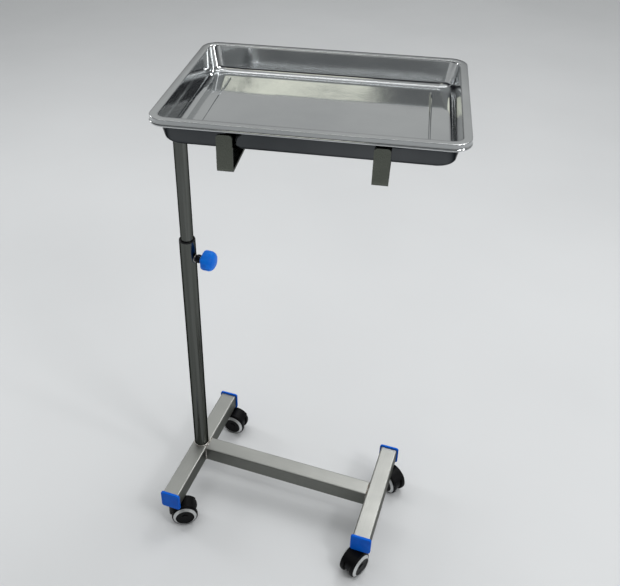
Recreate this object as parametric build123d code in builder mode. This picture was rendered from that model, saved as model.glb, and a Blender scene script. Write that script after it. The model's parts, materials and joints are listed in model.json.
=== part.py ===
from build123d import *
import math
import os

os.makedirs("parts", exist_ok=True)

# Instrument stand: a wheeled H-shaped base, a telescopic mast on its left bar and a tray on a swivelling arm.
# Millimetres. The origin is on the floor under the mast. +X runs along the crossbar, +Y to the back, +Z up.

# Base of square tube
base_top = 88.0
bar_size = 32.0
bar_wall = 1.5
bar_corner = 3.0
bar_spacing = 364.0
left_bar_length = 280.0
right_bar_length = 220.0

# End caps plugged into the bars
cap_flange = 38.0
cap_thickness = 4.5
cap_corner = 5.0
cap_edge_radius = 2.0
cap_clearance = 0.1
cap_skirt_wall = 2.0
cap_skirt_depth = 15.0

# Mast
mast_outer_diameter = 28.0
mast_outer_wall = 1.5
mast_outer_length = 487.0
mast_inner_diameter = 22.0
mast_inner_wall = 1.2
mast_insertion = 260.0
running_clearance = 0.05

# Glide bush on the foot of the inner tube
bush_length = 25.0
bush_floor = 5.0
bush_hole_radius = 6.0

# Guide bush in the mouth of the outer tube
guide_length = 20.0
guide_lip = 2.0
guide_lip_inset = 0.3

# Clamp screw
clamp_drop = 34.0
stud_radius = 4.0
stud_tip_gap = 0.3
stud_tip_chamfer = 0.8
boss_radius = 8.0
boss_reach = 22.0
knob_hub_start = 25.0
knob_hub_length = 4.0
knob_hub_radius = 9.5
knob_radius = 17.5
knob_thickness = 22.0
knob_grip_depth = 16.0
knob_lobes = 8
knob_scallop_radius = 6.5
knob_scallop_depth = 1.8
knob_edge_radius = 4.0
knob_clearance = 0.09

# Tray
tray_length = 424.0
tray_width = 318.0
tray_depth = 43.0
tray_rim_height = 864.0
tray_sheet = 1.0
tray_corner = 27.0
rim_flange = 12.7
rim_skirt = 9.0
rim_roll = 3.5
rim_roll_slope = 35.0
wall_draft = 9.0
floor_radius = 11.0
bead_inset = 52.0
bead_width = 4.0
bead_height = 0.9
bead_length = 230.0

# Head: arm and cradle straps
head_angle = 9.7
mast_to_tray_centre = 216.0
arm_size = 25.0
arm_wall = 1.5
arm_corner = 2.0
arm_overhang = 14.0
arm_past_strap = 20.0
strap_width = 22.0
strap_thickness = 4.0
strap_spacing = 207.0
strap_shift = 3.0
strap_bend = 6.0
strap_side_gap = 1.5
strap_drop = 17.0
strap_top_radius = 5.0
seat_gap = 0.2
plug_flange = 3.0
plug_depth = 10.0
plug_edge_radius = 1.0

# Casters
caster_inset = 10.0
caster_trail = 18.0
wheel_radius = 25.0
wheel_half_span = 18.5
wheel_inner_face = 6.6
tread_round = 2.5
trim_outer_radius = 22.4
trim_inner_radius = 17.8
trim_set_back = 3.4
trim_thickness = 1.0
dish_depth = 1.6
hub_radius = 6.0
hub_proud = 1.2
axle_radius = 3.0
axle_cover = 3.0
web_half_width = 6.0
web_radius = 21.0
fender_root_radius = 20.0
fender_clearance = 0.8
fender_thickness = 1.6
fender_half_width = 13.0
fender_start = 35.0
fender_end = 150.0
housing_radius = 11.0
housing_top = 52.2
spigot_radius = 4.0
spigot_bottom = 40.5
collar_radius = 8.0
collar_gap = 0.4
caster_clearance = 0.09
stem_radius = 5.0
stem_reach = 24.0
nut_across_flats = 17.0
nut_height = 8.0

# Each caster stands where the last push left it: the angle is the way its wheels trail, from +X
caster_angles = {"front_left": 29.0, "rear_left": -1.0, "front_right": -114.5, "rear_right": -35.0}


def save(piece, name):
    """Label a finished piece and write it as its own file."""
    piece.part.label = name
    export_step(piece.part, f"parts/{name}.step")


def square_tube(size, wall, corner):
    """Section of a square tube in the sketch that is open."""
    RectangleRounded(size, size, corner)
    RectangleRounded(size - 2 * wall, size - 2 * wall, corner - wall, mode=Mode.SUBTRACT)


# Heights and lengths that follow from the sizes above
bar_axis = base_top - bar_size / 2
bar_underside = base_top - bar_size
mast_outer_radius = mast_outer_diameter / 2
mast_bore_radius = mast_outer_radius - mast_outer_wall
mast_inner_radius = mast_inner_diameter / 2
mast_collar = base_top + mast_outer_length
clamp_height = mast_collar - clamp_drop
mast_inner_foot = mast_collar - mast_insertion
tray_underside = tray_rim_height - tray_depth
arm_top = tray_underside - seat_gap
arm_axis = arm_top - arm_size / 2
arm_underside = arm_top - arm_size

# Where each caster's stem stands
left_caster_y = left_bar_length / 2 - caster_inset
right_caster_y = right_bar_length / 2 - caster_inset
caster_places = {
    "front_left": (0, -left_caster_y),
    "rear_left": (0, left_caster_y),
    "front_right": (bar_spacing, -right_caster_y),
    "rear_right": (bar_spacing, right_caster_y),
}

# The head's own frame: x along the tray, origin on the mast axis at the floor
head = Plane(
    origin=(0, 0, 0),
    x_dir=(math.cos(math.radians(head_angle)), math.sin(math.radians(head_angle)), 0),
    z_dir=(0, 0, 1),
)
tray_frame = Plane(
    origin=head.from_local_coords(Vector(mast_to_tray_centre, 0, 0)),
    x_dir=head.x_dir,
    z_dir=(0, 0, 1),
)


def make_bar(name, x, length):
    """One long bar of the base, with a hole in its underside for each caster's stem."""
    stem_y = length / 2 - caster_inset
    with BuildPart() as bar:
        with BuildSketch(Plane((x, length / 2, bar_axis), x_dir=(1, 0, 0), z_dir=(0, -1, 0))):
            square_tube(bar_size, bar_wall, bar_corner)
        extrude(amount=length)
        with BuildSketch(Plane.XY.offset(bar_underside)):
            with Locations((x, -stem_y), (x, stem_y)):
                Circle(stem_radius + caster_clearance)
        extrude(amount=bar_wall, mode=Mode.SUBTRACT)
    save(bar, name)


make_bar("left_bar", 0, left_bar_length)
make_bar("right_bar", bar_spacing, right_bar_length)

# The crossbar butts against the bars' inner faces and is welded there
with BuildPart() as crossbar:
    with BuildSketch(Plane((bar_size / 2, 0, bar_axis), x_dir=(0, 1, 0), z_dir=(1, 0, 0))):
        square_tube(bar_size, bar_wall, bar_corner)
    extrude(amount=bar_spacing - bar_size)
save(crossbar, "crossbar")


def make_cap(name, x, end, side):
    """Plastic plug in the end of a bar; side is -1 at the front and +1 at the back."""
    end_plane = Plane((x, side * end, bar_axis), x_dir=(-side, 0, 0), z_dir=(0, side, 0))
    skirt = bar_size - 2 * (bar_wall + cap_clearance)
    with BuildPart() as cap:
        with BuildSketch(end_plane):
            RectangleRounded(cap_flange, cap_flange, cap_corner)
        extrude(amount=cap_thickness)
        fillet(cap.faces().sort_by(Axis.Y)[-1 if side > 0 else 0].edges(), radius=cap_edge_radius)
        # The skirt is open below, where the caster's nut sits
        with BuildSketch(end_plane):
            RectangleRounded(skirt, skirt, bar_corner - bar_wall - cap_clearance)
            with Locations((0, -cap_skirt_wall)):
                Rectangle(skirt - 2 * cap_skirt_wall, skirt, mode=Mode.SUBTRACT)
        extrude(amount=-cap_skirt_depth)
    save(cap, name)


make_cap("front_left_cap", 0, left_bar_length / 2, -1)
make_cap("rear_left_cap", 0, left_bar_length / 2, 1)
make_cap("front_right_cap", bar_spacing, right_bar_length / 2, -1)
make_cap("rear_right_cap", bar_spacing, right_bar_length / 2, 1)

# The mast's outer tube stands on the left bar, with a hole on its right side for the clamp screw
with BuildPart() as mast_outer:
    with BuildSketch(Plane.XY.offset(base_top)):
        Circle(mast_outer_radius)
        Circle(mast_bore_radius, mode=Mode.SUBTRACT)
    extrude(amount=mast_outer_length)
    with BuildSketch(Plane((0, 0, clamp_height), x_dir=(0, 1, 0), z_dir=(1, 0, 0))):
        Circle(stud_radius + running_clearance)
    extrude(amount=mast_outer_diameter, mode=Mode.SUBTRACT)
save(mast_outer, "mast_outer_tube")

# Threaded boss for the clamp screw, saddled to the outer tube
with BuildPart() as clamp_boss:
    with BuildSketch(Plane((0, 0, clamp_height), x_dir=(0, 1, 0), z_dir=(1, 0, 0))):
        Circle(boss_radius)
        Circle(stud_radius + running_clearance, mode=Mode.SUBTRACT)
    extrude(amount=boss_reach)
    with BuildSketch(Plane.XY.offset(clamp_height - boss_radius)):
        Circle(mast_outer_radius)
    extrude(amount=2 * boss_radius, mode=Mode.SUBTRACT)
save(clamp_boss, "clamp_boss")

# The inner tube slides and turns in the outer tube, and its top is welded under the arm
with BuildPart() as mast_inner:
    with BuildSketch(Plane.XY.offset(mast_inner_foot)):
        Circle(mast_inner_radius)
        Circle(mast_inner_radius - mast_inner_wall, mode=Mode.SUBTRACT)
    extrude(amount=arm_underside - mast_inner_foot)
save(mast_inner, "mast_inner_tube")

# Nylon bush on the foot of the inner tube, guided by the outer tube's bore
with BuildPart() as glide_bush:
    with BuildSketch(Plane.XY.offset(mast_inner_foot - bush_floor)):
        Circle(mast_bore_radius - running_clearance)
        Circle(bush_hole_radius, mode=Mode.SUBTRACT)
    extrude(amount=bush_length)
    with BuildSketch(Plane.XY.offset(mast_inner_foot)):
        Circle(mast_inner_radius + running_clearance)
    extrude(amount=bush_length, mode=Mode.SUBTRACT)
save(glide_bush, "mast_glide_bush")

# Black guide bush in the outer tube's mouth, its lip resting on the tube's end
with BuildPart() as guide_bush:
    with BuildSketch(Plane.XY.offset(mast_collar - guide_length)):
        Circle(mast_bore_radius - running_clearance)
    extrude(amount=guide_length)
    with BuildSketch(Plane.XY.offset(mast_collar)):
        Circle(mast_outer_radius - guide_lip_inset)
    extrude(amount=guide_lip)
    with BuildSketch(Plane.XY.offset(mast_collar - guide_length)):
        Circle(mast_inner_radius + running_clearance)
    extrude(amount=guide_length + guide_lip, mode=Mode.SUBTRACT)
save(guide_bush, "mast_guide_bush")

# Clamp stud: its tip presses on the inner tube when the knob is tight
stud_tip = mast_inner_radius + stud_tip_gap
stud_end = knob_hub_start + knob_grip_depth
with BuildPart() as clamp_stud:
    with BuildSketch(Plane((stud_tip, 0, clamp_height), x_dir=(0, 1, 0), z_dir=(1, 0, 0))):
        Circle(stud_radius)
    extrude(amount=stud_end - stud_tip)
    chamfer(clamp_stud.faces().sort_by(Axis.X)[0].edges(), length=stud_tip_chamfer)
save(clamp_stud, "clamp_stud")

# Lobed knob moulded on the end of the stud
knob_face = knob_hub_start + knob_hub_length
with BuildPart() as clamp_knob:
    with BuildSketch(Plane((knob_face, 0, clamp_height), x_dir=(0, 1, 0), z_dir=(1, 0, 0))):
        Circle(knob_radius)
        with PolarLocations(knob_radius + knob_scallop_radius - knob_scallop_depth, knob_lobes):
            Circle(knob_scallop_radius, mode=Mode.SUBTRACT)
    extrude(amount=knob_thickness)
    fillet(clamp_knob.faces().sort_by(Axis.X)[-1].edges(), radius=knob_edge_radius)
    with BuildSketch(Plane((knob_hub_start, 0, clamp_height), x_dir=(0, 1, 0), z_dir=(1, 0, 0))):
        Circle(knob_hub_radius)
    extrude(amount=knob_hub_length)
    with BuildSketch(Plane((knob_hub_start, 0, clamp_height), x_dir=(0, 1, 0), z_dir=(1, 0, 0))):
        Circle(stud_radius + knob_clearance)
    extrude(amount=knob_grip_depth, mode=Mode.SUBTRACT)
save(clamp_knob, "clamp_knob")

# Arm under the tray, welded on top of the mast
arm_start = -arm_overhang
arm_end = mast_to_tray_centre - strap_shift + strap_spacing / 2 + arm_past_strap
arm_origin = head.from_local_coords(Vector(arm_start, 0, arm_axis))
with BuildPart() as arm:
    with BuildSketch(Plane(arm_origin, x_dir=head.y_dir, z_dir=head.x_dir)):
        square_tube(arm_size, arm_wall, arm_corner)
    extrude(amount=arm_end - arm_start)
save(arm, "arm_tube")


def make_arm_plug(name, along, way):
    """Plug in one end of the arm; way is the direction that its flange faces, along the arm."""
    origin = head.from_local_coords(Vector(along, 0, arm_axis))
    bore = arm_size - 2 * arm_wall - 2 * running_clearance
    with BuildPart() as plug:
        with BuildSketch(Plane(origin, x_dir=head.y_dir, z_dir=head.x_dir * way)):
            RectangleRounded(arm_size, arm_size, arm_corner)
        extrude(amount=plug_flange)
        fillet(plug.faces().sort_by(Axis(head.origin, head.x_dir * way))[-1].edges(), radius=plug_edge_radius)
        with BuildSketch(Plane(origin, x_dir=head.y_dir, z_dir=head.x_dir * way)):
            RectangleRounded(bore, bore, arm_corner - arm_wall)
        extrude(amount=-plug_depth)
    save(plug, name)


make_arm_plug("arm_plug_mast_end", arm_start, -1)
make_arm_plug("arm_plug_far_end", arm_end, 1)

# Cradle straps: flat bars under the arm, bent up in front of and behind the tray
strap_inside = tray_width / 2 - rim_flange + strap_side_gap
strap_outside = strap_inside + strap_thickness
strap_underside = arm_underside - strap_thickness
strap_top = tray_rim_height - strap_drop
strap_middle = mast_to_tray_centre - strap_shift


def make_strap(name, along):
    """One cradle strap, its middle at the distance along the arm from the mast."""
    side_origin = head.from_local_coords(Vector(along - strap_width / 2, 0, 0))
    with BuildPart() as strap:
        with BuildSketch(Plane(side_origin, x_dir=head.y_dir, z_dir=head.x_dir)):
            with BuildLine():
                FilletPolyline(
                    (-strap_outside, strap_top),
                    (-strap_outside, strap_underside),
                    (strap_outside, strap_underside),
                    (strap_outside, strap_top),
                    radius=strap_bend,
                )
                Line((strap_outside, strap_top), (strap_inside, strap_top))
                FilletPolyline(
                    (strap_inside, strap_top),
                    (strap_inside, arm_underside),
                    (-strap_inside, arm_underside),
                    (-strap_inside, strap_top),
                    radius=strap_bend - strap_thickness,
                )
                Line((-strap_inside, strap_top), (-strap_outside, strap_top))
            make_face()
        extrude(amount=strap_width)
        ends = strap.faces().sort_by(Axis.Z)[-2:]
        corners = ends.edges().group_by(SortBy.LENGTH)[0]
        fillet(corners, radius=strap_top_radius)
    save(strap, name)


make_strap("near_strap", strap_middle - strap_spacing / 2)
make_strap("far_strap", strap_middle + strap_spacing / 2)

# Rim of the drawn tray: a flat flange rolled down at its outer edge, round the mouth of the pan
pan_length = tray_length - 2 * rim_flange
pan_width = tray_width - 2 * rim_flange
pan_corner = tray_corner - rim_flange / 2
rim_underside = tray_rim_height - rim_skirt
roll_start = tray_rim_height - rim_roll
rim_inside = (tray_length - 2 * tray_sheet, tray_width - 2 * tray_sheet, tray_corner - tray_sheet)
with BuildPart() as rim:
    with BuildSketch(tray_frame.offset(rim_underside)):
        RectangleRounded(tray_length, tray_width, tray_corner)
    extrude(amount=rim_skirt)
    fillet(rim.faces().sort_by(Axis.Z)[-1].edges(), radius=rim_roll)
    with BuildSketch(tray_frame.offset(rim_underside)):
        RectangleRounded(*rim_inside)
    extrude(amount=rim_skirt - rim_roll, mode=Mode.SUBTRACT)
    with BuildSketch(tray_frame.offset(roll_start)):
        RectangleRounded(*rim_inside)
    extrude(amount=rim_roll - tray_sheet, taper=rim_roll_slope, mode=Mode.SUBTRACT)

# Inside of the pan, one sheet thickness in from its outside
with BuildPart() as hollow:
    with BuildSketch(tray_frame.offset(tray_rim_height)):
        RectangleRounded(pan_length - 2 * tray_sheet, pan_width - 2 * tray_sheet, pan_corner - tray_sheet)
    extrude(amount=tray_sheet - tray_depth, taper=wall_draft)
    fillet(hollow.faces().sort_by(Axis.Z)[0].edges(), radius=floor_radius - tray_sheet)

# The pan tapers to a flat floor with generously rounded edges and a narrow stiffening bead near each end
with BuildPart() as tray:
    with BuildSketch(tray_frame.offset(tray_rim_height)):
        RectangleRounded(pan_length, pan_width, pan_corner)
    extrude(amount=-tray_depth, taper=wall_draft)
    fillet(tray.faces().sort_by(Axis.Z)[0].edges(), radius=floor_radius)
    add(rim.part)
    add(hollow.part, mode=Mode.SUBTRACT)
    for bead_x in (bead_inset - tray_length / 2, tray_length / 2 - bead_inset):
        bead_start = tray_frame.from_local_coords(Vector(bead_x, -bead_length / 2, tray_underside + tray_sheet))
        with BuildSketch(Plane(bead_start, x_dir=tray_frame.x_dir, z_dir=tray_frame.y_dir)):
            with BuildLine():
                ThreePointArc((-bead_width / 2, 0), (0, -bead_height), (bead_width / 2, 0))
                Line((bead_width / 2, 0), (-bead_width / 2, 0))
            make_face()
        extrude(amount=bead_length)
save(tray, "tray")


def make_caster(corner):
    """A twin-wheel caster: fixed stem, swivelling hood with its axle, two wheels and their trim rings."""
    x, y = caster_places[corner]
    angle = math.radians(caster_angles[corner])
    trail_dir = Vector(math.cos(angle), math.sin(angle), 0)
    pivot = Plane(origin=(x, y, 0), x_dir=trail_dir, z_dir=(0, 0, 1))
    axle_centre = Vector(x, y, wheel_radius) + trail_dir * caster_trail
    # Across the wheels: local x trails, local y is up, and z points along the axle
    across = Plane(origin=axle_centre, x_dir=trail_dir, z_dir=pivot.y_dir * -1)

    with BuildPart() as stem:
        with BuildSketch(pivot.offset(spigot_bottom)):
            Circle(spigot_radius)
        extrude(amount=bar_underside - spigot_bottom)
        with BuildSketch(pivot.offset(housing_top + collar_gap)):
            Circle(collar_radius)
        extrude(amount=bar_underside - housing_top - collar_gap)
        with BuildSketch(pivot.offset(bar_underside)):
            Circle(stem_radius)
        extrude(amount=stem_reach)
    save(stem, f"{corner}_stem")

    with BuildPart() as hood:
        with BuildSketch(pivot.offset(wheel_radius)):
            Circle(housing_radius)
        extrude(amount=housing_top - wheel_radius)
        with BuildSketch(across):
            Circle(web_radius)
        extrude(amount=web_half_width, both=True)
        with BuildSketch(across):
            with BuildLine():
                CenterArc((0, 0), wheel_radius + fender_clearance + fender_thickness, fender_start,
                          fender_end - fender_start)
                CenterArc((0, 0), fender_root_radius, fender_start, fender_end - fender_start)
                Line(
                    PolarLine((0, 0), wheel_radius + fender_clearance + fender_thickness, fender_start,
                              mode=Mode.PRIVATE) @ 1,
                    PolarLine((0, 0), fender_root_radius, fender_start, mode=Mode.PRIVATE) @ 1,
                )
                Line(
                    PolarLine((0, 0), wheel_radius + fender_clearance + fender_thickness, fender_end,
                              mode=Mode.PRIVATE) @ 1,
                    PolarLine((0, 0), fender_root_radius, fender_end, mode=Mode.PRIVATE) @ 1,
                )
            make_face()
        extrude(amount=fender_half_width, both=True)
        for side in (-1, 1):
            with BuildSketch(across.offset(side * web_half_width)):
                Circle(wheel_radius + fender_clearance)
            extrude(amount=side * wheel_half_span, mode=Mode.SUBTRACT)
        with BuildSketch(pivot.offset(spigot_bottom - collar_gap)):
            Circle(spigot_radius + caster_clearance)
        extrude(amount=housing_top - spigot_bottom + collar_gap, mode=Mode.SUBTRACT)
        with BuildSketch(across):
            Circle(axle_radius)
        extrude(amount=web_half_width, both=True, mode=Mode.SUBTRACT)
    save(hood, f"{corner}_hood")

    with BuildPart() as axle:
        with BuildSketch(across):
            Circle(axle_radius)
        extrude(amount=wheel_half_span - axle_cover, both=True)
    save(axle, f"{corner}_axle")

    for side_name, side in (("right", 1), ("left", -1)):
        # Profile plane: x is the radius and y the distance along the axle from the caster's middle
        profile = Plane(origin=axle_centre, x_dir=(0, 0, 1), z_dir=trail_dir * -side)
        axle_line = Axis(axle_centre, across.z_dir)
        outer_face = wheel_half_span
        shoulder = outer_face - trim_set_back
        with BuildPart() as wheel:
            with BuildSketch(profile):
                with BuildLine():
                    Polyline(
                        (0, outer_face - axle_cover + caster_clearance),
                        (axle_radius + caster_clearance, outer_face - axle_cover + caster_clearance),
                        (axle_radius + caster_clearance, wheel_inner_face),
                        (wheel_radius - tread_round, wheel_inner_face),
                    )
                    RadiusArc(
                        (wheel_radius - tread_round, wheel_inner_face),
                        (wheel_radius, wheel_inner_face + tread_round),
                        -tread_round,
                    )
                    Line((wheel_radius, wheel_inner_face + tread_round), (wheel_radius, shoulder - tread_round))
                    RadiusArc(
                        (wheel_radius, shoulder - tread_round),
                        (wheel_radius - tread_round, shoulder),
                        -tread_round,
                    )
                    Polyline(
                        (wheel_radius - tread_round, shoulder),
                        (trim_outer_radius, shoulder),
                        (trim_outer_radius, shoulder - trim_thickness),
                        (trim_inner_radius, outer_face - trim_thickness),
                        (hub_radius, outer_face - dish_depth),
                        (hub_radius, outer_face - dish_depth + hub_proud),
                        (0, outer_face - dish_depth + hub_proud),
                        (0, outer_face - axle_cover + caster_clearance),
                    )
                make_face()
            revolve(axis=axle_line)
        save(wheel, f"{corner}_wheel_{side_name}")

        with BuildPart() as trim:
            with BuildSketch(profile):
                with BuildLine():
                    Polyline(
                        (trim_inner_radius, outer_face - trim_thickness),
                        (trim_outer_radius, shoulder - trim_thickness),
                        (trim_outer_radius, shoulder),
                        (trim_inner_radius, outer_face),
                        (trim_inner_radius, outer_face - trim_thickness),
                    )
                make_face()
            revolve(axis=axle_line)
        save(trim, f"{corner}_trim_{side_name}")


for corner in caster_places:
    make_caster(corner)

# Nuts welded inside the bars hold the casters' stems
with BuildPart() as stem_nuts:
    with BuildSketch(Plane.XY.offset(bar_underside + bar_wall)):
        with Locations(*caster_places.values()):
            RegularPolygon(nut_across_flats / 2, 6, major_radius=False)
        with Locations(*caster_places.values()):
            Circle(stem_radius + caster_clearance, mode=Mode.SUBTRACT)
    extrude(amount=nut_height)
save(stem_nuts, "stem_nuts")
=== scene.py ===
"""Looks of the tray stand: fine pieces, materials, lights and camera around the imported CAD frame."""
import json
import math

import bpy
from mathutils import Matrix, Vector


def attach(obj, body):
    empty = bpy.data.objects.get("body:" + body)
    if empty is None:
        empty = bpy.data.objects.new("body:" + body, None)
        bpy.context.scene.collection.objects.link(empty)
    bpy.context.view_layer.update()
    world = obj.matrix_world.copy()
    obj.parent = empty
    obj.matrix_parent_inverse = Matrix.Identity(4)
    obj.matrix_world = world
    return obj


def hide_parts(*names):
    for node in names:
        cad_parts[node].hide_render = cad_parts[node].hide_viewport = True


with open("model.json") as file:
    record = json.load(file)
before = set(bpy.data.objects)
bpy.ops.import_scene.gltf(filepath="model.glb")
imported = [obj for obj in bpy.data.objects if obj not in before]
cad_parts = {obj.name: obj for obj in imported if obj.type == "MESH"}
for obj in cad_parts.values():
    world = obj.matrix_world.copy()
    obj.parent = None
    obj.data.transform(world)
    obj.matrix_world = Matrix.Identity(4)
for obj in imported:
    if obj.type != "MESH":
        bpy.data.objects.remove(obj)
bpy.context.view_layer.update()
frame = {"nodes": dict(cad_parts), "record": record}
cad_nodes = frame["nodes"]

# Sizes shared with the CAD source, in metres
TRAY_LENGTH = 0.424
TRAY_WIDTH = 0.318
TRAY_CORNER = 0.027
TRAY_RIM = 0.864
TRAY_DEPTH = 0.043
SHEET = 0.001
FLANGE = 0.0127
WALL_DRAFT = math.radians(9.0)
BEAD_PLACE = 0.160
BEAD_LENGTH = 0.232
BEAD_WIDTH = 0.0042
BEAD_HEIGHT = 0.0009
HEAD_ANGLE = math.radians(9.7)
TRAY_MIDDLE = 0.216
ARM_UNDERSIDE = 0.7958
ARM_HALF = 0.0125
STRAP_PLACES = {"near": 0.1095, "far": 0.3165}
STRAP_WIDTH = 0.022
MAST_OUTER = 0.014
MAST_INNER = 0.011
BASE_TOP = 0.088
BAR_HALF = 0.016
BAR_SPACING = 0.364
CLAMP_HEIGHT = 0.541
BOSS_RADIUS = 0.008
BOSS_END = 0.022
KNOB_HUB_START = 0.025
KNOB_FACE = 0.029
KNOB_END = 0.051
KNOB_RADIUS = 0.0175
KNOB_HUB_RADIUS = 0.0095
KNOB_LOBES = 8
STUD_RADIUS = 0.004
THREAD_PITCH = 0.00125


# Node material helpers

class Shader:
    """A material's node tree with short calls for the nodes used here."""

    def __init__(self, name):
        self.material = bpy.data.materials.new(name)
        self.material.use_nodes = True
        self.tree = self.material.node_tree
        self.bsdf = self.tree.nodes["Principled BSDF"]
        self.place = self.add("ShaderNodeTexCoord").outputs["Object"]

    def add(self, kind, **settings):
        node = self.tree.nodes.new(kind)
        for key, value in settings.items():
            setattr(node, key, value)
        return node

    def link(self, source, target):
        self.tree.links.new(source, target)

    def stretched(self, scale):
        """Coordinates stretched by a scale for each axis, for brushed or drawn marks."""
        mapping = self.add("ShaderNodeMapping")
        mapping.inputs["Scale"].default_value = scale
        self.link(self.place, mapping.inputs["Vector"])
        return mapping.outputs["Vector"]

    def noise(self, scale, detail=2.0, rough=0.5, vector=None, distortion=0.0):
        node = self.add("ShaderNodeTexNoise")
        node.inputs["Scale"].default_value = scale
        node.inputs["Detail"].default_value = detail
        node.inputs["Roughness"].default_value = rough
        node.inputs["Distortion"].default_value = distortion
        self.link(vector or self.place, node.inputs["Vector"])
        return node.outputs["Fac"]

    def span(self, value, low, high, start=0.3, end=0.7):
        """The value's middle range spread from low to high."""
        node = self.add("ShaderNodeMapRange")
        node.inputs["From Min"].default_value = start
        node.inputs["From Max"].default_value = end
        node.inputs["To Min"].default_value = low
        node.inputs["To Max"].default_value = high
        self.link(value, node.inputs["Value"])
        return node.outputs["Result"]

    def math(self, operation, first, second):
        node = self.add("ShaderNodeMath", operation=operation)
        for socket, value in zip(node.inputs, (first, second)):
            if isinstance(value, (int, float)):
                socket.default_value = value
            else:
                self.link(value, socket)
        return node.outputs["Value"]

    def mix(self, factor, first, second):
        """Two colours blended by a factor."""
        node = self.add("ShaderNodeMix", data_type="RGBA")
        self.link(factor, node.inputs["Factor"])
        for socket, value in ((node.inputs[6], first), (node.inputs[7], second)):
            if isinstance(value, tuple):
                socket.default_value = (*value, 1.0)
            else:
                self.link(value, socket)
        return node.outputs[2]

    def bump(self, height, distance, strength, under=None):
        node = self.add("ShaderNodeBump")
        node.inputs["Distance"].default_value = distance
        node.inputs["Strength"].default_value = strength
        self.link(height, node.inputs["Height"])
        if under is not None:
            self.link(under, node.inputs["Normal"])
        return node.outputs["Normal"]

    def facing_up(self):
        """1 on faces that face up, 0 on the sides and below."""
        split = self.add("ShaderNodeSeparateXYZ")
        self.link(self.add("ShaderNodeNewGeometry").outputs["Normal"], split.inputs["Vector"])
        return self.span(split.outputs["Z"], 0.0, 1.0, 0.55, 0.95)

    def finish(self, colour, roughness, normal=None, **constants):
        self.link(colour, self.bsdf.inputs["Base Color"])
        self.link(roughness, self.bsdf.inputs["Roughness"])
        if normal is not None:
            self.link(normal, self.bsdf.inputs["Normal"])
        for key, value in constants.items():
            socket_name = key.replace("_", " ").title().replace("Ior", "IOR")
            self.bsdf.inputs[socket_name].default_value = value
        return self.material


def brushed_steel(name, light, dark, rough, grain, sides=None, edge=0.6):
    """Brushed steel: grain is the coordinate scale, small along the brushing. Its sides may be coloured
    darker than its top as painted shade.
    """
    s = Shader(name)
    lines = s.noise(900.0, detail=3.0, vector=s.stretched(grain))
    clouds = s.noise(11.0, detail=4.0)
    smears = s.noise(38.0, detail=3.0, distortion=1.2)
    colour = s.mix(s.span(clouds, 0.0, 1.0), light, dark)
    colour = s.mix(s.span(lines, 0.0, 0.35), colour, dark)
    # Painted shade: faces that don't face up take the darker side colour
    if sides is not None:
        colour = s.mix(s.facing_up(), sides, colour)
    roughness = s.math("ADD", s.span(lines, rough - 0.05, rough + 0.05), s.span(smears, -0.02, 0.06))
    return s.finish(colour, roughness, s.bump(lines, 0.00002, 0.35), metallic=1.0,
                    specular_tint=(edge, edge, edge, 1.0))


def tube_steel(name, light, dark, rough):
    """Polished round tube: turned marks run round the mast, so lamps draw out along it."""
    s = Shader(name)
    rings = s.noise(1300.0, detail=2.0, vector=s.stretched((0.05, 0.05, 1.0)))
    streaks = s.noise(160.0, detail=2.0, vector=s.stretched((1.0, 1.0, 0.02)))
    smears = s.noise(30.0, detail=3.0, distortion=0.8)
    colour = s.mix(s.span(streaks, 0.0, 1.0), light, dark)
    roughness = s.math("ADD", s.span(rings, rough - 0.02, rough + 0.02), s.span(smears, 0.0, 0.04))
    tangent = s.add("ShaderNodeTangent", direction_type="RADIAL", axis="Z")
    s.link(tangent.outputs["Tangent"], s.bsdf.inputs["Tangent"])
    return s.finish(colour, roughness, s.bump(rings, 0.000005, 0.2), metallic=1.0, anisotropic=0.6,
                    anisotropic_rotation=0.25, specular_tint=(0.08, 0.08, 0.08, 1.0))


def tray_steel(name, light, dark, edge):
    """Drawn sheet with a near-mirror polish, slightly wavy, with fine wiping marks."""
    s = Shader(name)
    waves = s.noise(13.0, detail=1.0)
    drawn = s.noise(55.0, detail=2.0, vector=s.stretched((1.0, 1.0, 0.25)))
    wipes = s.noise(500.0, detail=3.0, vector=s.stretched((0.08, 1.0, 1.0)))
    clouds = s.noise(7.0, detail=4.0)
    colour = s.mix(s.span(clouds, 0.0, 1.0), light, dark)
    roughness = s.math("ADD", s.span(wipes, 0.05, 0.09), s.span(clouds, 0.0, 0.03))
    normal = s.bump(waves, 0.0009, 0.35)
    normal = s.bump(drawn, 0.00012, 0.35, normal)
    normal = s.bump(wipes, 0.000004, 0.15, normal)
    return s.finish(colour, roughness, normal, metallic=1.0, specular_tint=(edge, edge, edge, 1.0))


def plastic(name, light, dark, rough, shine=0.35, metallic=0.0):
    """Moulded plastic: fine grain, slight flow marks and scuffs. Metallic paint on it raises metallic."""
    s = Shader(name)
    flow = s.noise(45.0, detail=3.0, distortion=0.6)
    fine = s.noise(1400.0)
    scuffs = s.noise(170.0, detail=4.0, rough=0.7, vector=s.stretched((1.0, 0.3, 1.0)))
    colour = s.mix(s.span(flow, 0.0, 1.0), light, dark)
    grain = s.span(fine, rough - 0.04, rough + 0.05)
    roughness = s.math("ADD", grain, s.span(scuffs, 0.0, 0.12, 0.5, 0.75))
    return s.finish(colour, roughness, s.bump(fine, 0.00003, 0.3), metallic=metallic,
                    specular_ior_level=shine)


def weld_steel(name):
    """Heat-tinted weld metal with a rippled skin."""
    s = Shader(name)
    heat = s.noise(140.0, detail=3.0)
    ripple = s.noise(700.0, detail=2.0)
    colour = s.mix(s.span(heat, 0.0, 1.0), (0.52, 0.51, 0.49), (0.20, 0.17, 0.14))
    return s.finish(colour, s.span(ripple, 0.22, 0.42), s.bump(ripple, 0.0003, 0.5), metallic=1.0)


LENGTHWAYS_X = (0.02, 1.0, 1.0)
LENGTHWAYS_Y = (1.0, 0.02, 1.0)


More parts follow.
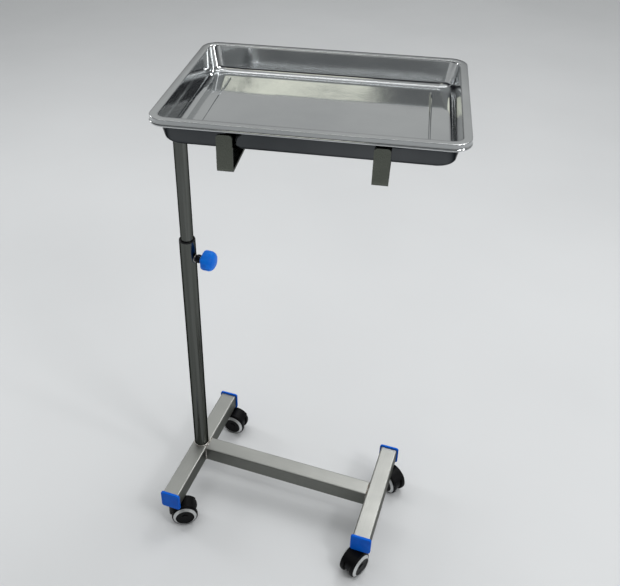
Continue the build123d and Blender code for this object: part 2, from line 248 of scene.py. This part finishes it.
def bar_steel(name, grain):
    """A base bar's steel, with painted shade: its sides are coloured far darker than its top."""
    return brushed_steel(name, (0.52, 0.525, 0.50), (0.45, 0.455, 0.435), 0.40, grain,
                         sides=(0.19, 0.195, 0.18), edge=0.5)


finishes = {
    "tray_steel": tray_steel("tray_sheet_steel", (0.62, 0.635, 0.64), (0.54, 0.555, 0.565), 0.9),
    # Painted shade: the mast's steel is coloured far darker than the bars' to stand in for the dark room
    # it mirrors
    "mast_steel": tube_steel("shaded_mast_tube_steel", (0.135, 0.140, 0.132), (0.085, 0.090, 0.082), 0.17),
    "bar_y": bar_steel("bar_steel_along", LENGTHWAYS_Y),
    "bar_x": bar_steel("bar_steel_across", LENGTHWAYS_X),
    # Painted shade: the straps' steel is coloured far darker than the bars' to stand in for the shade
    # under the tray
    "cradle_steel": brushed_steel(
        "cradle_steel", (0.16, 0.17, 0.145), (0.10, 0.107, 0.092), 0.24, LENGTHWAYS_Y, edge=0.4),
    "plated_steel": brushed_steel(
        "plated_steel", (0.45, 0.46, 0.47), (0.30, 0.31, 0.32), 0.20, LENGTHWAYS_X),
    "dark_steel": brushed_steel(
        "dark_plated_steel", (0.05, 0.05, 0.055), (0.02, 0.02, 0.025), 0.25, LENGTHWAYS_X, edge=0.4),
    "blue_plastic": plastic(
        "blue_plastic", (0.0005, 0.120, 0.620), (0.0005, 0.090, 0.520), 0.45, shine=0.12),
    "knob_plastic": plastic(
        "blue_knob_plastic", (0.004, 0.230, 0.950), (0.002, 0.160, 0.800), 0.40, shine=0.16),
    "black_plastic": plastic(
        "black_plastic", (0.008, 0.008, 0.009), (0.004, 0.004, 0.005), 0.42, shine=0.25),
    "caster_plastic": plastic(
        "caster_plastic", (0.002, 0.002, 0.0025), (0.001, 0.001, 0.0015), 0.42, shine=0.12),
    "wheel_plastic": plastic(
        "wheel_plastic", (0.0025, 0.0025, 0.003), (0.001, 0.001, 0.0015), 0.42, shine=0.12),
    "trim_silver": plastic("trim_silver", (0.66, 0.67, 0.67), (0.56, 0.57, 0.57), 0.34, metallic=0.85),
    "nylon": plastic("nylon", (0.62, 0.61, 0.56), (0.52, 0.51, 0.46), 0.45),
}
# Painted shade: the tray's underside and outer wall take a much darker copy of the same sheet steel
shaded_tray_outside = tray_steel("shaded_tray_outside_steel", (0.085, 0.089, 0.093), (0.058, 0.062, 0.066), 0.30)
weld_finish = weld_steel("weld_steel")

# Nodes whose finish isn't the one named by their material slot
BY_NODE = {"left_bar": "bar_y", "right_bar": "bar_y", "crossbar": "bar_x", "clamp_boss": "dark_steel"}
slot_of = {part["node"]: part["material_slot"] for part in frame["record"]["subparts"]}
for node_name, node in cad_nodes.items():
    finish_name = BY_NODE[node_name] if node_name in BY_NODE else slot_of[node_name]
    node.data.materials.clear()
    node.data.materials.append(finishes[finish_name])


# Mesh helpers

def piece(name, verts, faces, material, body):
    """A new mesh object that rides on a body."""
    mesh = bpy.data.meshes.new(name)
    mesh.from_pydata(verts, [], faces)
    mesh.validate()
    mesh.materials.append(material)
    mesh.shade_smooth()
    obj = bpy.data.objects.new(name, mesh)
    bpy.context.scene.collection.objects.link(obj)
    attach(obj, body)
    return obj


def in_head(x, y, z):
    """A point of the head's frame, x along the tray from the mast, in the object's frame."""
    return (
        x * math.cos(HEAD_ANGLE) - y * math.sin(HEAD_ANGLE),
        x * math.sin(HEAD_ANGLE) + y * math.cos(HEAD_ANGLE),
        z,
    )


def rounded_ring(half_x, half_y, radius, corner_steps, side_steps):
    """Points round a rounded rectangle, counter-clockwise, the same number for every size."""
    corners = ((1, 1, 0.0), (-1, 1, 90.0), (-1, -1, 180.0), (1, -1, 270.0))
    points = []
    for index, (sign_x, sign_y, start) in enumerate(corners):
        centre = (sign_x * (half_x - radius), sign_y * (half_y - radius))
        for step in range(corner_steps + 1):
            angle = math.radians(start + 90.0 * step / corner_steps)
            points.append((centre[0] + radius * math.cos(angle), centre[1] + radius * math.sin(angle)))
        next_x, next_y, next_start = corners[(index + 1) % len(corners)]
        angle = math.radians(next_start)
        first = points[-1]
        last = (
            next_x * (half_x - radius) + radius * math.cos(angle),
            next_y * (half_y - radius) + radius * math.sin(angle),
        )
        for step in range(1, side_steps):
            t = step / side_steps
            points.append((first[0] + (last[0] - first[0]) * t, first[1] + (last[1] - first[1]) * t))
    return points


def arc(centre, radius, start, end, steps):
    """Profile points (inset, height) on an arc, its angles in degrees from the inset axis."""
    points = []
    for step in range(steps + 1):
        angle = math.radians(start + (end - start) * step / steps)
        points.append((centre[0] + radius * math.cos(angle), centre[1] + radius * math.sin(angle)))
    return points


def ring_quads(rings, around):
    """Faces between neighbouring rings of points, each ring closed on itself."""
    faces = []
    for ring in range(rings - 1):
        low, high = ring * around, (ring + 1) * around
        for i in range(around):
            j = (i + 1) % around
            faces.append((low + i, low + j, high + j, high + i))
    return faces


def round_clamp(x, radius, angle):
    """A point at a radius and angle round the clamp's axis, which runs along x."""
    return (x, radius * math.cos(angle), CLAMP_HEIGHT + radius * math.sin(angle))


# Tray: one drawn sheet, from the middle of its floor over the wall, rim and rolled edge to its underside

FLOOR_FILLET = 0.010
LIP_RADIUS = 0.0022
EDGE_RADIUS = 0.0009
EDGE_SETBACK = 0.0008
EDGE_DROP = 0.0050
EDGE_FOOT = 0.0010
CURL_RADIUS = 0.0018
RIM_UNDERSIDE = (0.0050, FLANGE - 0.0012)
EDGE_DEPTH = 0.0105
EDGE_CORNER = 0.012
CORNER_GROWTH = 0.007
CORNER_STEPS = 14
SIDE_STEPS = 10

inner_top = FLANGE
floor_top = TRAY_RIM - TRAY_DEPTH + SHEET
wall_run = (TRAY_DEPTH - SHEET) * math.tan(WALL_DRAFT)
inner_floor_inset = inner_top + wall_run


def inner_profile():
    """The upper skin from the floor outwards, as (inset from the rim's outline, height)."""
    tangent = FLOOR_FILLET * math.tan(math.pi / 4 - WALL_DRAFT / 2)
    centre = (inner_floor_inset + tangent, floor_top + FLOOR_FILLET)
    skin = arc(centre, FLOOR_FILLET, 270.0, 180.0 + math.degrees(WALL_DRAFT), 10)
    lip_tangent = LIP_RADIUS * math.tan(math.pi / 4 - WALL_DRAFT / 2)
    lip_centre = (inner_top - lip_tangent, TRAY_RIM - LIP_RADIUS)
    lip = arc(lip_centre, LIP_RADIUS, math.degrees(WALL_DRAFT), 90.0, 6)
    wall_foot, wall_head = skin[-1], lip[0]
    # Points near its ends keep the wall's shading flat between them
    for share in (0.03, 0.5, 0.97):
        skin.append((wall_foot[0] + (wall_head[0] - wall_foot[0]) * share,
                     wall_foot[1] + (wall_head[1] - wall_foot[1]) * share))
    return skin + lip


def edge_profile():
    """The rim's outer edge: rounded over, straight down, curled out and back under."""
    shoulder = (EDGE_RADIUS + EDGE_SETBACK, TRAY_RIM - EDGE_RADIUS)
    curl = (CURL_RADIUS, TRAY_RIM - EDGE_DROP - 2 * CURL_RADIUS)
    points = arc(shoulder, EDGE_RADIUS, 90.0, 180.0, 6)
    points.append((EDGE_FOOT, TRAY_RIM - EDGE_DROP))
    return points + arc(curl, CURL_RADIUS, 125.0, 380.0, 16)


def under_profile():
    """The lower skin, from the rim down the wall to the underside of the floor."""
    points = [(inset, TRAY_RIM - SHEET) for inset in RIM_UNDERSIDE]
    outer_floor = inner_floor_inset - SHEET
    tangent = (FLOOR_FILLET + SHEET) * math.tan(math.pi / 4 - WALL_DRAFT / 2)
    centre = (outer_floor + tangent, TRAY_RIM - TRAY_DEPTH + FLOOR_FILLET + SHEET)
    return points + arc(centre, FLOOR_FILLET + SHEET, 180.0 + math.degrees(WALL_DRAFT), 270.0, 10)


def corner_at(inset, height):
    """Corner radius of a ring: the rim's own, growing towards the floor as a drawn pan's does."""
    if height > TRAY_RIM - EDGE_DEPTH and inset < inner_top:
        return max(TRAY_CORNER - inset, EDGE_CORNER)
    depth = (TRAY_RIM - height) / TRAY_DEPTH
    return (TRAY_CORNER - FLANGE) + CORNER_GROWTH * depth


def tray_mesh():
    """The pan's points and faces, and how many of the faces come before the underside's."""
    top = inner_profile() + edge_profile()
    profile = top + under_profile()
    verts, faces, rings = [], [], []
    for inset, height in profile:
        ring = rounded_ring(TRAY_LENGTH / 2 - inset, TRAY_WIDTH / 2 - inset, corner_at(inset, height),
                            CORNER_STEPS, SIDE_STEPS)
        rings.append(range(len(verts), len(verts) + len(ring)))
        verts += [in_head(TRAY_MIDDLE + x, y, height) for x, y in ring]
    count = len(rings[0])
    for low, high in zip(rings, rings[1:]):
        for i in range(count):
            j = (i + 1) % count
            faces.append((low[i], high[i], high[j], low[j]))
    faces.append(tuple(reversed(rings[-1])))
    faces.insert(0, tuple(rings[0]))
    return verts, faces, 1 + len(top) * count


verts, faces, top_faces = tray_mesh()
tray = piece("tray_pan", verts, faces, finishes["tray_steel"], "tray")
# The underside's faces get the painted-shade copy of the sheet steel
tray.data.materials.append(shaded_tray_outside)
for face in tray.data.polygons:
    face.material_index = 1 if face.index >= top_faces else 0
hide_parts("tray")


def tray_bead(name, along):
    """A pressed bead across the tray's floor, low and round, dying out at its ends."""
    steps, across = 40, 8
    verts, faces = [], []
    for i in range(steps + 1):
        t = i / steps
        y = (t - 0.5) * BEAD_LENGTH
        fade = min(1.0, math.sin(math.pi * t) * 9.0)
        for k in range(across + 1):
            u = k / across
            rise = BEAD_HEIGHT * fade * (0.5 - 0.5 * math.cos(2 * math.pi * u))
            x = along + (u - 0.5) * BEAD_WIDTH * (0.35 + 0.65 * fade)
            verts.append(in_head(TRAY_MIDDLE + x, y, floor_top + 0.00002 + rise))
    row = across + 1
    for i in range(steps):
        for k in range(across):
            a = i * row + k
            faces.append((a, a + 1, a + row + 1, a + row))
    return piece(name, verts, faces, finishes["tray_steel"], "tray")


tray_bead("tray_bead_near", -BEAD_PLACE)
tray_bead("tray_bead_far", BEAD_PLACE)


# Knob: a lobed grip with a domed end

KNOB_AROUND = 96
KNOB_GROOVE = 0.0005
KNOB_SIDE_RADIUS = 0.0022
KNOB_END_RADIUS = 0.0100
KNOB_DOME = 0.0012
HUB_CHAMFER = 0.0012
STUD_GAP = 0.0001


def knob_profile():
    """The grip's outline from its hub to the edge of its end, as (x, radius, share of the lobes)."""
    profile = [(KNOB_HUB_START, STUD_RADIUS + STUD_GAP, 0.0),
               (KNOB_HUB_START, KNOB_HUB_RADIUS - HUB_CHAMFER, 0.0),
               (KNOB_HUB_START + HUB_CHAMFER, KNOB_HUB_RADIUS, 0.0),
               (KNOB_FACE - 0.0006, KNOB_HUB_RADIUS, 0.0),
               (KNOB_FACE, KNOB_HUB_RADIUS + 0.0008, 0.0)]
    side = KNOB_SIDE_RADIUS
    for step in range(7):
        angle = math.radians(180.0 - 90.0 * step / 6)
        profile.append((KNOB_FACE + side + side * math.cos(angle),
                        KNOB_RADIUS - side + side * math.sin(angle), 1.0))
    end = KNOB_END_RADIUS
    for step in range(15):
        angle = math.radians(90.0 - 82.0 * step / 14)
        profile.append((KNOB_END - KNOB_DOME - end + end * math.cos(angle),
                        KNOB_RADIUS - end + end * math.sin(angle), 1.0 - step / 14))
    flat = profile[-1][1]
    for share in (0.8, 0.6, 0.4, 0.2):
        profile.append((KNOB_END - KNOB_DOME * share ** 2, flat * share, 0.0))
    return profile


def knob_mesh():
    profile = knob_profile()
    verts = []
    for x, radius, lobed in profile:
        for i in range(KNOB_AROUND):
            angle = 2 * math.pi * i / KNOB_AROUND
            groove = max(0.0, math.cos(KNOB_LOBES * angle)) ** 1.5
            verts.append(round_clamp(x, radius - KNOB_GROOVE * lobed * groove, angle))
    faces = ring_quads(len(profile), KNOB_AROUND)
    tip = len(verts)
    verts.append((KNOB_END, 0.0, CLAMP_HEIGHT))
    last = tip - KNOB_AROUND
    for i in range(KNOB_AROUND):
        faces.append((last + i, last + (i + 1) % KNOB_AROUND, tip))
    return verts, faces


verts, faces = knob_mesh()
knob = piece("clamp_knob_grip", verts, faces, finishes["knob_plastic"], "clamp_handle")
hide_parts("clamp_knob")


# Boss: a turned collar on the mast, slimmer than its CAD node, with a nut at its end

BOSS_ROUND = 0.0062
BOSS_ROOT = MAST_OUTER - 0.0012
BOSS_AROUND = 48
NECK = BOSS_ROUND - 0.0006
NUT_START = 0.0175
NUT_FACE = BOSS_RADIUS - 0.0010
NUT_ROUND = BOSS_RADIUS - 0.0004
NUT_CHAMFER = 0.0005


def boss_mesh():
    """A collar that starts inside the mast's wall, then a six-sided nut with turned ends."""
    profile = [(BOSS_ROOT, BOSS_ROUND, 0.0),
               (NUT_START - 0.0008, BOSS_ROUND, 0.0),
               (NUT_START - 0.0003, NECK, 0.0),
               (NUT_START, NECK, 0.0),
               (NUT_START, NUT_FACE, 0.0),
               (NUT_START + NUT_CHAMFER, NUT_ROUND, 1.0),
               (BOSS_END - NUT_CHAMFER, NUT_ROUND, 1.0),
               (BOSS_END, NUT_FACE, 0.0),
               (BOSS_END, STUD_RADIUS + STUD_GAP, 0.0)]
    verts = []
    for x, radius, sided in profile:
        for i in range(BOSS_AROUND):
            angle = 2 * math.pi * i / BOSS_AROUND
            flat = math.cos(math.pi / 6) / math.cos((angle % (math.pi / 3)) - math.pi / 6)
            r = radius * (1.0 + sided * (min(1.0, flat * 1.04) - 1.0))
            verts.append(round_clamp(x, r, angle))
    return verts, ring_quads(len(profile), BOSS_AROUND)


verts, faces = boss_mesh()
boss = piece("clamp_boss_collar", verts, faces, finishes["dark_steel"], "base")
boss.data.set_sharp_from_angle(angle=math.radians(35.0))
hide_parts("clamp_boss")


# Screw thread on the stud where it shows between the boss and the knob

THREAD_HEIGHT = 0.0005
THREAD_ROOT = STUD_RADIUS - 0.00005
THREAD_CREST = 0.08
THREAD_FOOT = 0.42


def thread(name, start, end):
    turns = (end - start) / THREAD_PITCH
    steps = int(turns * 28)
    verts, faces = [], []
    for i in range(steps + 1):
        angle = 2 * math.pi * turns * i / steps
        x = start + (end - start) * i / steps
        for offset, rise in ((-THREAD_FOOT, 0.0), (-THREAD_CREST, THREAD_HEIGHT),
                             (THREAD_CREST, THREAD_HEIGHT), (THREAD_FOOT, 0.0)):
            px = min(max(x + offset * THREAD_PITCH, start), end)
            verts.append(round_clamp(px, THREAD_ROOT + rise, angle))
    for i in range(steps):
        for k in range(3):
            a = i * 4 + k
            faces.append((a, a + 1, a + 5, a + 4))
    return piece(name, verts, faces, finishes["plated_steel"], "clamp_screw")


thread("clamp_thread", BOSS_END + STUD_GAP, KNOB_HUB_START - STUD_GAP)


# Weld beads: a rippled roll along a path of points, with the direction it faces at each

def weld(name, path, body, size=0.0018, closed=False):
    """path holds (point, outward direction) pairs along the joint."""
    around = 10
    count = len(path)
    verts, faces = [], []
    for i, (point, outward) in enumerate(path):
        before = path[(i - 1) % count][0] if closed or i else point
        after = path[(i + 1) % count][0] if closed or i < count - 1 else point
        along = (Vector(after) - Vector(before)).normalized()
        out = Vector(outward).normalized()
        side = along.cross(out)
        ripple = 1.0 + 0.10 * math.sin(i * 1.9) + 0.06 * math.sin(i * 0.7 + 1.0)
        taper = 1.0 if closed else min(1.0, 0.35 + 0.65 * min(i, count - 1 - i) / 3.0)
        for k in range(around):
            angle = 2 * math.pi * k / around
            r = size * ripple * taper
            offset = out * (0.8 * r * math.cos(angle)) + side * (r * math.sin(angle))
            verts.append(tuple(Vector(point) + offset))
    spans = count if closed else count - 1
    for i in range(spans):
        a, b = i * around, ((i + 1) % count) * around
        for k in range(around):
            n = (k + 1) % around
            faces.append((a + k, a + n, b + n, b + k))
    if not closed:
        faces.append(tuple(range(around - 1, -1, -1)))
        faces.append(tuple(range((count - 1) * around, count * around)))
    return piece(name, verts, faces, weld_finish, body)


def ring_path(radius, height, lift, steps=84):
    """A weld path round the mast, facing outwards and by lift up or down."""
    path = []
    for i in range(steps):
        angle = 2 * math.pi * i / steps
        c, s = math.cos(angle), math.sin(angle)
        path.append(((radius * c, radius * s, height), (c, s, lift)))
    return path


def straight_path(start, end, outward, steps):
    a, b = Vector(start), Vector(end)
    return [(tuple(a.lerp(b, i / steps)), outward) for i in range(steps + 1)]


weld("mast_foot_weld", ring_path(MAST_OUTER + 0.0004, BASE_TOP + 0.0005, 0.8), "base",
     closed=True)
weld("mast_head_weld", ring_path(MAST_INNER + 0.0003, ARM_UNDERSIDE - 0.0004, -0.8), "head",
     size=0.0014, closed=True)
WELD_OUT = 0.0003
WELD_END = 0.001
for bar_name, bar_x, way in (("left", BAR_HALF, 1), ("right", BAR_SPACING - BAR_HALF, -1)):
    x = bar_x + way * WELD_OUT
    half, top = BAR_HALF - WELD_END, BASE_TOP - 0.0002
    seam = straight_path((x, -half, top), (x, half, top), (way * 0.3, 0, 1), 26)
    weld(f"{bar_name}_bar_top_weld", seam, "base", size=0.0012)
    for side, side_name in ((-1, "front"), (1, "back")):
        y = side * (BAR_HALF + WELD_OUT)
        upper, lower = BASE_TOP - WELD_END, BASE_TOP - 2 * BAR_HALF + WELD_END
        seam = straight_path((x, y, upper), (x, y, lower), (way, side, 0), 26)
        weld(f"{bar_name}_bar_side_weld_{side_name}", seam, "base")
for strap_name, along in STRAP_PLACES.items():
    for side, side_name in ((-1, "near"), (1, "far")):
        x = along + side * (STRAP_WIDTH / 2 + WELD_OUT)
        half, z = ARM_HALF - WELD_END, ARM_UNDERSIDE - WELD_OUT
        seam = straight_path(in_head(x, -half, z), in_head(x, half, z), (0, 0, -1), 18)
        weld(f"{strap_name}_strap_weld_{side_name}", seam, "head", size=0.0012)


def saddle_path(radius, tube, steps=60):
    """Where a round boss meets the mast."""
    path = []
    for i in range(steps):
        angle = 2 * math.pi * i / steps
        y, z = radius * math.cos(angle), radius * math.sin(angle)
        x = math.sqrt(tube * tube - y * y)
        path.append(((x + 0.0004, y, CLAMP_HEIGHT + z), (0.7, math.cos(angle), math.sin(angle))))
    return path


weld("boss_weld", saddle_path(BOSS_ROUND + 0.0002, MAST_OUTER), "base", size=0.0011,
     closed=True)


# Floor, world and lamps

FLOOR_REACH = 14.0
floor_mesh = bpy.data.meshes.new("studio_floor")
floor_mesh.from_pydata(
    [(-FLOOR_REACH, -FLOOR_REACH, 0), (FLOOR_REACH, -FLOOR_REACH, 0), (FLOOR_REACH, FLOOR_REACH, 0),
     (-FLOOR_REACH, FLOOR_REACH, 0)], [], [(0, 1, 2, 3)])
paint = Shader("studio_floor")
floor_tone = paint.mix(paint.span(paint.noise(1.5), 0.0, 1.0), (0.60, 0.61, 0.62), (0.57, 0.58, 0.59))
floor_mesh.materials.append(paint.finish(floor_tone, paint.span(paint.noise(9.0), 0.6, 0.7)))
floor = bpy.data.objects.new("studio_floor", floor_mesh)
bpy.context.scene.collection.objects.link(floor)

world = bpy.data.worlds.new("studio_world")
world.use_nodes = True
bpy.context.scene.world = world
tree = world.node_tree
background = tree.nodes["Background"]
direction = tree.nodes.new("ShaderNodeTexCoord").outputs["Generated"]
split = tree.nodes.new("ShaderNodeSeparateXYZ")
tree.links.new(direction, split.inputs["Vector"])


def world_range(axis, start, end):
    """From 0 to 1 as the direction's part along an axis goes from start to end."""
    node = tree.nodes.new("ShaderNodeMapRange")
    node.inputs["From Min"].default_value = start
    node.inputs["From Max"].default_value = end
    tree.links.new(split.outputs[axis], node.inputs["Value"])
    return node.outputs["Result"]


def world_math(operation, first, second):
    node = tree.nodes.new("ShaderNodeMath")
    node.operation = operation
    tree.links.new(first, node.inputs[0])
    tree.links.new(second, node.inputs[1])
    return node.outputs["Value"]


# Light wall behind, light ceiling, pale horizon, and a dark room above it on the camera's side
ROOM_DARK = (0.035, 0.037, 0.042, 1.0)
ROOM_LIGHT = (0.53, 0.54, 0.535, 1.0)
back_wall = world_math("MULTIPLY", world_range("Y", -0.15, 0.55), world_range("Z", 0.20, 0.37))
walls = world_math("MAXIMUM", back_wall, world_range("Z", 0.19, 0.13))
room = world_math("MAXIMUM", walls, world_range("Z", 0.50, 0.82))
ramp = tree.nodes.new("ShaderNodeValToRGB")
ramp.color_ramp.elements[0].color = ROOM_DARK
ramp.color_ramp.elements[1].color = ROOM_LIGHT
tree.links.new(room, ramp.inputs["Fac"])
tree.links.new(ramp.outputs["Color"], background.inputs["Color"])
background.inputs["Strength"].default_value = 1.0


WHITE = (1.0, 1.0, 1.0)
WARM = (1.0, 0.99, 0.82)


def softbox(name, place, target, size, power, colour=WHITE):
    """A rectangular lamp that the camera doesn't see."""
    lamp = bpy.data.lights.new(name, "AREA")
    lamp.shape = "RECTANGLE"
    lamp.size, lamp.size_y = size
    lamp.energy = power
    lamp.color = colour
    obj = bpy.data.objects.new(name, lamp)
    obj.location = place
    obj.rotation_euler = (Vector(target) - Vector(place)).to_track_quat("-Z", "Y").to_euler()
    obj.visible_camera = False
    bpy.context.scene.collection.objects.link(obj)
    return obj


# The steel mirrors the world's light ceiling and the thin strip, not the large lamp between them
overhead = softbox("top_softbox", (0.0, 0.2, 3.2), (0.0, 0.2, 0.0), (4.2, 3.0), 50.0)
overhead.visible_glossy = False
softbox("ceiling_strip", (0.2, 0.1, 3.1), (0.2, 0.1, 0.0), (3.4, 0.14), 7.0)
softbox("back_softbox", (0.9, 2.2, 3.6), (0.3, 2.0, 0.0), (1.8, 1.2), 36.0)
softbox("left_window", (-2.2, 0.35, 1.5), (0.2, 0.05, 0.7), (0.5, 0.9), 12.0)
softbox("right_strip", (2.2, -0.3, 1.6), (0.1, 0.0, 0.4), (0.2, 1.2), 7.0)
softbox("knob_window", (1.9, -0.85, 2.2), (0.1, 0.0, 0.4), (0.5, 0.5), 15.0)
softbox("front_window", (0.18, -2.0, 2.62), (0.18, 0.1, 0.8), (0.66, 0.34), 1.1, WARM)


# Camera, solved from the photograph in its 620 by 586 frame with half the shift of the closest fit,
# because other views keep the shift and would cut the tray off

FRAME_WIDTH = 620.0
FRAME_HEIGHT = 586.0
FOCAL_PIXELS = 760.4
AXIS_X = 292.6
AXIS_Y = 246.2
CAMERA_PLACE = (0.5085, -0.9589, 1.2731)
CAMERA_PITCH = math.radians(33.44)
CAMERA_ROLL = math.radians(1.05)
CAMERA_YAW = math.radians(-18.53)
SENSOR = 36.0

camera_data = bpy.data.cameras.new("photo_camera")
camera_data.sensor_width = SENSOR
camera_data.sensor_fit = "HORIZONTAL"
camera_data.lens = FOCAL_PIXELS * SENSOR / FRAME_WIDTH
camera_data.shift_x = (FRAME_WIDTH / 2 - AXIS_X) / FRAME_WIDTH
camera_data.shift_y = (AXIS_Y - FRAME_HEIGHT / 2) / FRAME_WIDTH
camera = bpy.data.objects.new("photo_camera", camera_data)
bpy.context.scene.collection.objects.link(camera)
bpy.context.scene.camera = camera


def turn(axis, angle):
    return Matrix.Rotation(angle, 3, axis)


level = Matrix(((1, 0, 0), (0, 0, -1), (0, 1, 0)))
seen = turn("Z", CAMERA_ROLL) @ turn("X", CAMERA_PITCH) @ level @ turn("Z", CAMERA_YAW)
right, down, forward = Vector(seen[0]), Vector(seen[1]), Vector(seen[2])
basis = Matrix((right, -down, -forward)).transposed()
camera.matrix_world = Matrix.Translation(CAMERA_PLACE) @ basis.to_4x4()

bpy.context.scene.view_settings.view_transform = "Standard"
